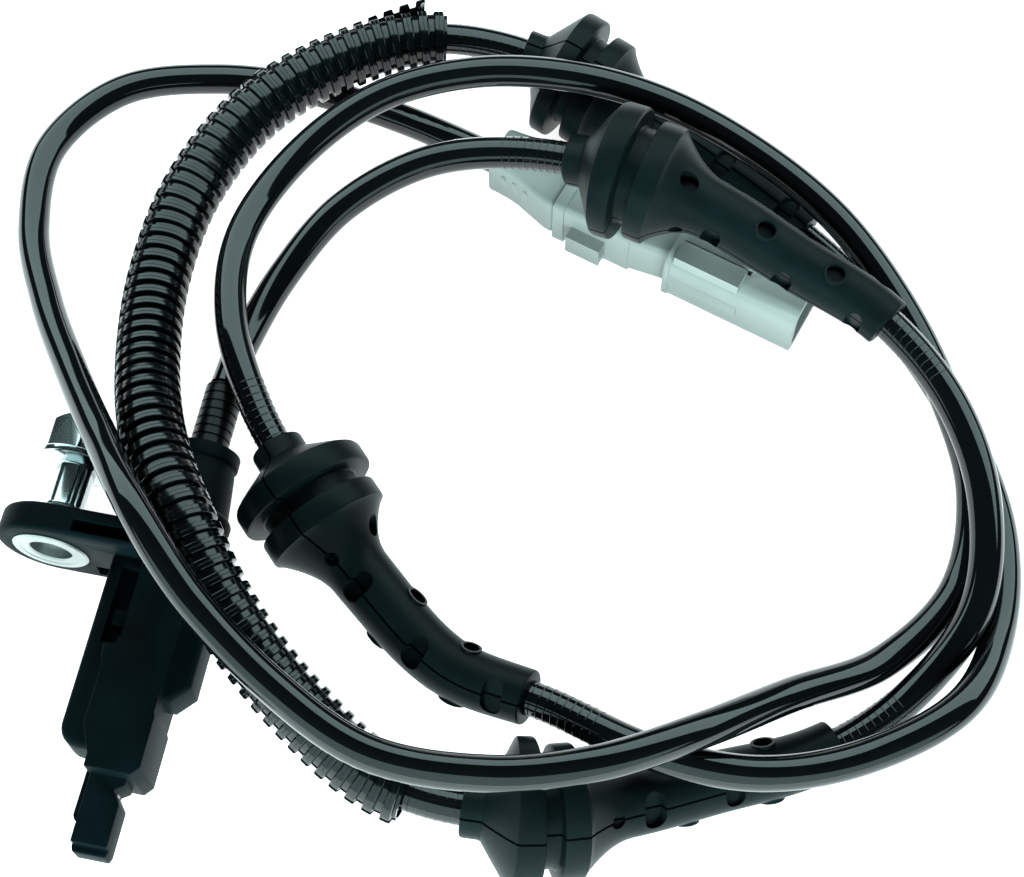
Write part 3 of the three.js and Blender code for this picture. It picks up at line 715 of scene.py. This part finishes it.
bolt = stand_along_y(shank)
bolt.name = "bolt"
set_down(bolt, HEAD_PLACE + Vector((BOLT_X, BOLT_STANDS_OUT, 0)) * MM)
smooth(bolt, 35)
print("bush", len(bush.data.polygons), "faces, bolt", len(bolt.data.polygons), "faces")

# %% [markdown]
# The sleeve where the cable leaves the collar is thin, with narrow grooves around it that let it
# bend. Each groove adds the same five stations to the turned profile.

# %% Strain relief
RELIEF_BORE, RELIEF_FOOT = 2.62, 17.8
GROOVE_COUNT, GROOVE_PITCH, FIRST_GROOVE = 7, 1.45, 21.2
relief_stations = [(RELIEF_BORE, RELIEF_FOOT), (3.15, RELIEF_FOOT), (3.15, FIRST_GROOVE)]
for groove in range(GROOVE_COUNT):
    foot = FIRST_GROOVE + groove * GROOVE_PITCH
    relief_stations += [
        (3.05, foot + 0.05), (3.03, foot + 1.1), (2.98, foot + 1.15), (2.8, foot + 1.2),
        (2.8, foot + 1.4),
    ]
relief_stations += [(3.0, 31.4), (2.95, 31.6), (RELIEF_BORE, 31.65), (RELIEF_BORE, RELIEF_FOOT)]
relief = stand_along_y(turned("relief", relief_stations, 40))
set_down(relief, HEAD_PLACE)
smooth(relief, 40)
print("strain relief", len(relief.data.polygons), "faces")

# %% [markdown]
# The connector is modelled with Y forward from the cable's end, X across and Z up, and then turned
# into its place. Its rear is a horn-shaped hood, then come the body, a taper, and the shroud. The
# last three have rounded corners, so one helper makes them from four quarter circles.

# %% Connector helpers
CONNECTOR_PLACE = route[-1]
CONNECTOR_TURN = (0, 0, -108)


def rounded_outline(half_x, half_z, corner, steps=6):
    """A rectangle with round corners, as a list of points."""
    outline = arc_points((half_x - corner, half_z - corner), corner, 0, 90, steps)
    outline += arc_points((corner - half_x, half_z - corner), corner, 90, 180, steps)
    outline += arc_points((corner - half_x, corner - half_z), corner, 180, 270, steps)
    outline += arc_points((half_x - corner, corner - half_z), corner, 270, 360, steps)
    return outline


def tapered(name, half_x, half_z, corner, start, length, end_scale=(1, 1)):
    """A rounded box along Y whose far end is resized."""
    outline = rounded_outline(half_x, half_z, corner)
    piece = outline_block(name, outline, length, plane="XZ", at=start)
    for vertex in piece.data.vertices:
        if vertex.co.y > (start + length / 2) * MM:
            vertex.co.x *= end_scale[0]
            vertex.co.z *= end_scale[1]
    return piece


print("connector at", [round(value, 4) for value in CONNECTOR_PLACE])

# %% [markdown]
# The hood covers the cable's end and widens in a curve towards the body. Seen from above it is an
# outline, so it is made as one. Three small ticks are raised on its near side.

# %% Hood
HOOD_THICKNESS = 9.0
hood_outline = [
    (3.6, 0.2), (3.6, 2.2), (3.75, 4.4), (4.1, 6.6), (4.7, 8.6), (5.3, 10.6), (5.8, 12.4),
    (6.0, 14.2), (-6.0, 14.2), (-6.0, 12.0), (-5.4, 8.0), (-4.6, 4.0), (-4.2, 0.2),
]
hood = outline_block("connector_hood", hood_outline, HOOD_THICKNESS, at=-HOOD_THICKNESS / 2)
soften(hood, 0.9, 4, 40)
for x, y in ((3.65, 3.2), (3.85, 5.4), (4.45, 7.8)):
    join_solid(hood, block("tick", (x - 0.7, y, 0.8), (x + 0.35, y + 0.7, 2.2)))
soften(hood, 0.1, 2, 40)
set_down(hood, CONNECTOR_PLACE, CONNECTOR_TURN)
smooth(hood, 38)
print("hood", len(hood.data.polygons), "faces")

# %% [markdown]
# The connector's shell steps in behind the shroud and carries the latch plate and a side tab. The
# outer solids are fused first and get one moulded radius together. The mouth, the two ways for the
# terminals and the small vent are cut afterwards, so that their edges stay crisp.

# %% Body, taper and shroud
WAY_X = 1.9  # how far each terminal's way lies off the middle
shell = tapered("connector_shell", 6.0, 5.0, 1.0, 14.3, 14.0)
join_solid(shell, tapered("rear_step", 6.35, 5.3, 1.1, 14.3, 2.0))
join_solid(shell, tapered("taper", 5.9, 4.9, 1.4, 27.8, 7.6, (0.82, 0.9)))
join_solid(shell, block("side_tab", (5.2, 17.8, -3.4), (8.2, 24.0, 0.9)))
join_solid(shell, tapered("shroud", 6.7, 6.0, 2.6, 35.2, 23.3))
join_solid(shell, tapered("shroud_rim", 6.9, 6.2, 2.7, 35.2, 0.9))
join_solid(shell, tapered("near_skirt", 6.95, 2.2, 1.6, 36.0, 12.5))
join_solid(shell, block("latch", (2.9, 36.6, 5.2), (6.5, 48.0, 7.3)))
cut(shell, block("latch_groove", (1.9, 36.4, 4.9), (2.9, 48.6, 8)))
soften(shell, 0.35, 3, 32)
cut(shell, tapered("mouth", 5.3, 4.6, 1.3, 39.5, 30))
for side in (-1, 1):
    way_hole = stand_along_y(turned("way_hole", [
        (0.01, 10), (1.75, 10), (1.75, 45), (0.01, 45),
    ], 32))
    way_hole.location.x = side * WAY_X * MM
    cut(shell, way_hole)
cut(shell, block("vent", (5.0, 24.2, 3.1), (7, 25.0, 3.9)))
set_down(shell, CONNECTOR_PLACE, CONNECTOR_TURN)
smooth(shell, 38)
print("connector shell", len(shell.data.polygons), "faces")

# %% [markdown]
# Inside the shroud lies a green seal that keeps water out. It is a rounded ring, with two grooves
# cut inside it that leave its lips.

# %% Front seal
seal = tapered("mouth_seal", 5.0, 4.3, 1.1, 39.8, 3.0)
soften(seal, 0.4, 3, 40)
cut(seal, tapered("seal_hole", 3.8, 3.1, 0.7, 38.0, 8.0))
for at in (40.7, 41.9):
    cut(seal, tapered("seal_groove", 3.95, 3.25, 0.8, at, 0.5))
soften(seal, 0.1, 2, 40)
set_down(seal, CONNECTOR_PLACE, CONNECTOR_TURN)
smooth(seal, 40)
print("seal", len(seal.data.polygons), "faces")

# %% [markdown]
# The two terminals are square pins with a tapered end, on a thicker barrel. A block's far end is
# made small first. A cut across it then gives new corners, which are put back to full size, so that
# only the last stretch tapers.

# %% Terminals
PIN_HALF, PIN_START, PIN_END, PIN_END_SHARE = 0.5, 24.0, 50.4, 0.35
TAPER_START, BARREL_HALF = 49.1, 0.9
terminals = []
for number, side in enumerate((-1, 1), start=1):
    x = side * WAY_X
    pin = block(f"terminal_pin_{number}",
                (x - PIN_HALF, PIN_START, -PIN_HALF), (x + PIN_HALF, PIN_END, PIN_HALF))
    for vertex in pin.data.vertices:
        if vertex.co.y > (PIN_START + PIN_END) / 2 * MM:
            vertex.co.x = x * MM + (vertex.co.x - x * MM) * PIN_END_SHARE
            vertex.co.z *= PIN_END_SHARE
    select_only(pin)
    bpy.ops.object.mode_set(mode="EDIT")
    bpy.ops.mesh.select_all(action="SELECT")
    bpy.ops.mesh.bisect(plane_co=(0, TAPER_START * MM, 0), plane_no=(0, 1, 0))
    bpy.ops.object.mode_set(mode="OBJECT")
    for vertex in pin.data.vertices:
        if vertex.co.y < (TAPER_START + 0.2) * MM:
            vertex.co.x = x * MM + math.copysign(PIN_HALF * MM, vertex.co.x - x * MM)
            vertex.co.z = math.copysign(PIN_HALF * MM, vertex.co.z)
    join_solid(pin, block("barrel", (x - BARREL_HALF, 19.7, -BARREL_HALF),
                          (x + BARREL_HALF, 26.7, BARREL_HALF)))
    soften(pin, 0.12, 2, 30)
    set_down(pin, CONNECTOR_PLACE, CONNECTOR_TURN)
    smooth(pin, 35)
    terminals.append(pin)
print("terminals", [pin.name for pin in terminals])

# %% [markdown]
# The ground is plain white and keeps a soft shadow. A gloss black mirrors what is around it, so the
# ground is a little brighter in reflections than in the picture, and the air above the part is dark.

# %% Stage
FLOOR_SIZE = 6
FLOOR_PLACE = (0.05, 0.04, -0.0002)  # a hair below the part
COOL = (0.72, 1.0, 1.0)
bpy.ops.object.select_all(action="DESELECT")
bpy.ops.mesh.primitive_plane_add(size=FLOOR_SIZE, location=FLOOR_PLACE)
floor = bpy.context.object
floor.name = "floor"


def new_material(name):
    """A new material with its nodes, its links and its shading node."""
    material = bpy.data.materials.new(name)
    material.use_nodes = True
    nodes = material.node_tree.nodes
    return material, nodes, material.node_tree.links, nodes["Principled BSDF"]


def white_ground(name, own_light, in_reflections):
    """White to the camera, brighter in reflections, with the shadow left faintly in it."""
    material, nodes, links, skin = new_material(name)
    skin.inputs["Base Color"].default_value = (0.8, 0.8, 0.8, 1)
    skin.inputs["Roughness"].default_value = 1
    glow = nodes.new("ShaderNodeEmission")
    both = nodes.new("ShaderNodeAddShader")
    path = nodes.new("ShaderNodeLightPath")
    seen = nodes.new("ShaderNodeMath")
    seen.operation = "MAXIMUM"
    links.new(path.outputs["Is Camera Ray"], seen.inputs[0])
    links.new(path.outputs["Is Glossy Ray"], seen.inputs[1])
    mix = nodes.new("ShaderNodeMixShader")
    links.new(seen.outputs[0], mix.inputs[0])
    links.new(skin.outputs[0], mix.inputs[1])
    links.new(skin.outputs[0], both.inputs[0])
    links.new(glow.outputs[0], both.inputs[1])
    strength = nodes.new("ShaderNodeMath")
    strength.operation = "MULTIPLY_ADD"
    strength.inputs[1].default_value = in_reflections - own_light
    strength.inputs[2].default_value = own_light
    links.new(path.outputs["Is Glossy Ray"], strength.inputs[0])
    links.new(strength.outputs[0], glow.inputs["Strength"])
    links.new(both.outputs[0], mix.inputs[2])
    links.new(mix.outputs[0], nodes["Material Output"].inputs[0])
    return material


floor.data.materials.append(white_ground("white_ground", 0.88, 1.15))
world = bpy.data.worlds.new("studio")
bpy.context.scene.world = world
world.use_nodes = True
background = world.node_tree.nodes["Background"]
background.inputs[0].default_value = (*COOL, 1)
background.inputs[1].default_value = 0.05
print("floor of", FLOOR_SIZE, "m under a dark sky")

# %% [markdown]
# Bright cards stand low before and behind the part, so that each strand carries one grey band on its
# outer side. Overhead light would grey the whole black skin instead. A wide wash from the front only
# lifts the pale and dull sides: it is hidden from reflections and leaves no streak on the gloss.

# %% Light


def soft_box(name, place, towards, width, height, power):
    """A cool rectangular light at a place, turned towards a point."""
    data = bpy.data.lights.new(name, "AREA")
    data.shape = "RECTANGLE"
    data.size = width
    data.size_y = height
    data.energy = power
    data.color = COOL
    light = bpy.data.objects.new(name, data)
    bpy.context.scene.collection.objects.link(light)
    light.location = place
    aim = Vector(towards) - Vector(place)
    light.rotation_euler = aim.to_track_quat("-Z", "Y").to_euler()
    return light


soft_box("box_near", (0.06, -0.128, 0.055), (0.06, -0.093, -0.007), 0.6, 0.142, 0.46)
soft_box("box_far", (0.05, 0.18, 0.153), (0.05, 0.1, 0.015), 0.7, 0.185, 1.25)
front_wash = soft_box("front_wash", (0.05, -0.75, 0.16), (0.05, 0.04, 0.0), 1.2, 0.25, 27)
front_wash.visible_glossy = False
print("lights", [light.name for light in bpy.data.lights])

# %% [markdown]
# Every finish here is one plain skin: a colour, a roughness, and how strongly it shines. Real
# mouldings are never quite even, so each also gets a fine grain, as a bump, and most a faint drift of
# the colour. Both come from each piece's own coordinates and need no picture.

# %% Finish helpers


def skin_of(material):
    return material.node_tree.nodes["Principled BSDF"]


def plain_finish(name, colour, roughness, metallic=0.0, gloss_level=0.5):
    material = new_material(name)[0]
    skin = skin_of(material)
    skin.inputs["Specular IOR Level"].default_value = gloss_level
    skin.inputs["Base Color"].default_value = (*colour, 1)
    skin.inputs["Roughness"].default_value = roughness
    skin.inputs["Metallic"].default_value = metallic
    return material


def add_grain(material, scale, strength, distance, colour_shift=0.0):
    """Fine moulded grain as a bump, and a faint unevenness of the colour."""
    nodes, links = material.node_tree.nodes, material.node_tree.links
    skin = skin_of(material)
    place = nodes.new("ShaderNodeTexCoord")
    noise = nodes.new("ShaderNodeTexNoise")
    noise.inputs["Scale"].default_value = scale
    noise.inputs["Detail"].default_value = 5
    links.new(place.outputs["Object"], noise.inputs["Vector"])
    bump = nodes.new("ShaderNodeBump")
    bump.inputs["Strength"].default_value = strength
    bump.inputs["Distance"].default_value = distance
    links.new(noise.outputs["Fac"], bump.inputs["Height"])
    links.new(bump.outputs["Normal"], skin.inputs["Normal"])
    if colour_shift:
        broad = nodes.new("ShaderNodeTexNoise")
        broad.inputs["Scale"].default_value = scale / 12
        links.new(place.outputs["Object"], broad.inputs["Vector"])
        ramp = nodes.new("ShaderNodeValToRGB")
        base = skin.inputs["Base Color"].default_value
        dark = [value * (1 - colour_shift) for value in base[:3]]
        light = [value * (1 + colour_shift) for value in base[:3]]
        ramp.color_ramp.elements[0].position = 0.35
        ramp.color_ramp.elements[0].color = (*dark, 1)
        ramp.color_ramp.elements[1].position = 0.65
        ramp.color_ramp.elements[1].color = (*light, 1)
        links.new(broad.outputs["Fac"], ramp.inputs[0])
        links.new(ramp.outputs[0], skin.inputs["Base Color"])


# %% [markdown]
# The cable's jacket is a glossy black skin, nearly a mirror. The conduit is a duller black.

# %% Jacket and conduit
jacket = plain_finish("glossy_jacket", (0.0015, 0.002, 0.0022), 0.06)
skin_of(jacket).inputs["IOR"].default_value = 1.5
add_grain(jacket, 900, 0.05, 0.00002)
gloss_black = plain_finish("conduit_black", (0.001, 0.0022, 0.0024), 0.14, gloss_level=0.42)
add_grain(gloss_black, 700, 0.05, 0.00002)
print("finishes", jacket.name, gloss_black.name)

# %% [markdown]
# Rubber is soft and dull, with a bluish grey sheen. Where the two halves of its mould met, a dark
# parting line runs along both sides of a grommet. It is drawn by the straight place that each point
# kept, so it follows every bend, and it is dulled too, since a mould's joint throws no highlight.

# %% Rubber and housing
SEAM_HALF_WIDTH = 0.00018


def seam_on(material, half_width):
    """A dark parting line along a turned piece, where its straight X is nought."""
    nodes, links = material.node_tree.nodes, material.node_tree.links
    skin = skin_of(material)
    spot = nodes.new("ShaderNodeAttribute")
    spot.attribute_name = "straight"
    parts = nodes.new("ShaderNodeSeparateXYZ")
    links.new(spot.outputs["Vector"], parts.inputs[0])
    size = nodes.new("ShaderNodeMath")
    size.operation = "ABSOLUTE"
    links.new(parts.outputs[0], size.inputs[0])
    inside = nodes.new("ShaderNodeMath")
    inside.operation = "LESS_THAN"
    inside.inputs[1].default_value = half_width
    links.new(size.outputs[0], inside.inputs[0])
    mix = nodes.new("ShaderNodeMix")
    mix.data_type = "RGBA"
    source = skin.inputs["Base Color"].links[0].from_socket
    links.new(inside.outputs[0], mix.inputs[0])
    links.new(source, mix.inputs[6])
    mix.inputs[7].default_value = (0.0008, 0.001, 0.001, 1)
    links.new(mix.outputs[2], skin.inputs["Base Color"])
    level = skin.inputs["Specular IOR Level"].default_value
    dulled = nodes.new("ShaderNodeMath")
    dulled.operation = "MULTIPLY_ADD"
    dulled.inputs[1].default_value = -level
    dulled.inputs[2].default_value = level
    links.new(inside.outputs[0], dulled.inputs[0])
    links.new(dulled.outputs[0], skin.inputs["Specular IOR Level"])


rubber = plain_finish("moulded_rubber", (0.0028, 0.0058, 0.0062), 0.4, gloss_level=0.075)
add_grain(rubber, 1400, 0.25, 0.00004, 0.18)
seam_on(rubber, SEAM_HALF_WIDTH)
sleeve_rubber = plain_finish("sleeve_rubber", (0.0014, 0.0028, 0.003), 0.3, gloss_level=0.2)
add_grain(sleeve_rubber, 1400, 0.25, 0.00004, 0.18)
hard_black = plain_finish("black_housing", (0.0016, 0.0042, 0.005), 0.5, gloss_level=0.03)
add_grain(hard_black, 1600, 0.2, 0.00003, 0.15)
print("finishes", rubber.name, sleeve_rubber.name, hard_black.name)

# %% [markdown]
# The bolt is bright zinc-plated steel and the bush a duller one. The connector is a pale grey
# plastic that lets a little light into its skin, which softens its edges.

# %% Metal and pale plastic
zinc = plain_finish("bright_zinc", (0.5, 0.56, 0.57), 0.13, 1)
add_grain(zinc, 900, 0.06, 0.00002, 0.08)
dull_zinc = plain_finish("dull_zinc", (0.44, 0.47, 0.46), 0.4, 1)
add_grain(dull_zinc, 1300, 0.2, 0.00003, 0.1)
pale = plain_finish("pale_connector", (0.265, 0.275, 0.262), 0.42)
skin_of(pale).inputs["Subsurface Weight"].default_value = 0.15
skin_of(pale).inputs["Subsurface Radius"].default_value = (0.002, 0.002, 0.002)
add_grain(pale, 1200, 0.08, 0.00002, 0.04)
print("finishes", zinc.name, dull_zinc.name, pale.name)

# %% [markdown]
# The seal, the contacts and the pieces inside the head and the cable get finishes too, so that the
# model looks right when it is taken apart.

# %% Inner finishes
seal_green = plain_finish("green_seal", (0.08, 0.22, 0.12), 0.5)
add_grain(seal_green, 1200, 0.15, 0.00003, 0.1)
contact = plain_finish("tinned_contact", (0.72, 0.68, 0.58), 0.25, 1)
add_grain(contact, 1500, 0.1, 0.00002, 0.05)
resin = plain_finish("black_resin", (0.006, 0.006, 0.006), 0.5)
add_grain(resin, 1500, 0.1, 0.00002, 0.1)
magnet = plain_finish("grey_magnet", (0.2, 0.21, 0.22), 0.4, 0.9)
add_grain(magnet, 1500, 0.2, 0.00003, 0.1)
carrier = plain_finish("grey_carrier", (0.05, 0.06, 0.065), 0.5)
add_grain(carrier, 1500, 0.15, 0.00003, 0.1)
insulation = plain_finish("blue_insulation", (0.03, 0.05, 0.16), 0.35)
add_grain(insulation, 1200, 0.08, 0.00002, 0.08)
print("materials", len(bpy.data.materials))

# %% [markdown]
# Each visible piece now gets its finish and is listed with the node of the model that it stands
# for. The nodes that nothing here replaces keep their own shape and get a finish only.

# %% Who wears what
dressed = [  # piece, finish, slot, replaced nodes
    (cable, jacket, "cable_jacket", ["cable"]),
    (grip_marks, jacket, "cable_jacket", []),
    (conduit, gloss_black, "conduit_plastic", ["conduit"]),
    (body, hard_black, "housing_plastic", ["sensor_housing"]),
    (bush, dull_zinc, "zinc_steel", ["flange_bush"]),
    (bolt, zinc, "zinc_steel", ["fixing_bolt"]),
    (relief, sleeve_rubber, "grommet_rubber", ["strain_relief"]),
    (hood, pale, "connector_plastic", ["connector_cover"]),
    (shell, pale, "connector_plastic", ["connector_housing"]),
    (seal, seal_green, "seal_rubber", ["front_seal"]),
    (terminals[0], contact, "contact_metal", ["terminal_1"]),
    (terminals[1], contact, "contact_metal", ["terminal_2"]),
]
for number, grommet in enumerate(grommets, start=1):
    dressed.append((grommet, rubber, "grommet_rubber", [f"grommet_{number}"]))
node_looks = {
    resin: ["sensing_element"],
    magnet: ["bias_magnet"],
    carrier: ["element_carrier"],
    contact: ["lead_strip_1", "lead_strip_2", "crimp_1", "crimp_2"],
    insulation: ["core_1", "core_2", "rear_core_1", "rear_core_2"],
    seal_green: ["wire_seal_1", "wire_seal_2"],
}
print("dressed pieces", len(dressed))

# %% [markdown]
# Each piece gets its finish and rides on the root, since nothing moves, and the nodes of the model
# that it replaces are hidden.

# %% Tell the frame
for piece, material, slot, replaced in dressed:
    piece.data.materials.clear()
    piece.data.materials.append(material)
    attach(piece, "root")
    if replaced:
        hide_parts(*replaced)
for material, names in node_looks.items():
    for name in names:
        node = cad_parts[name]
        node.data.materials.clear()
        node.data.materials.append(material)
print("cord of", round(cable_length, 3), "m")
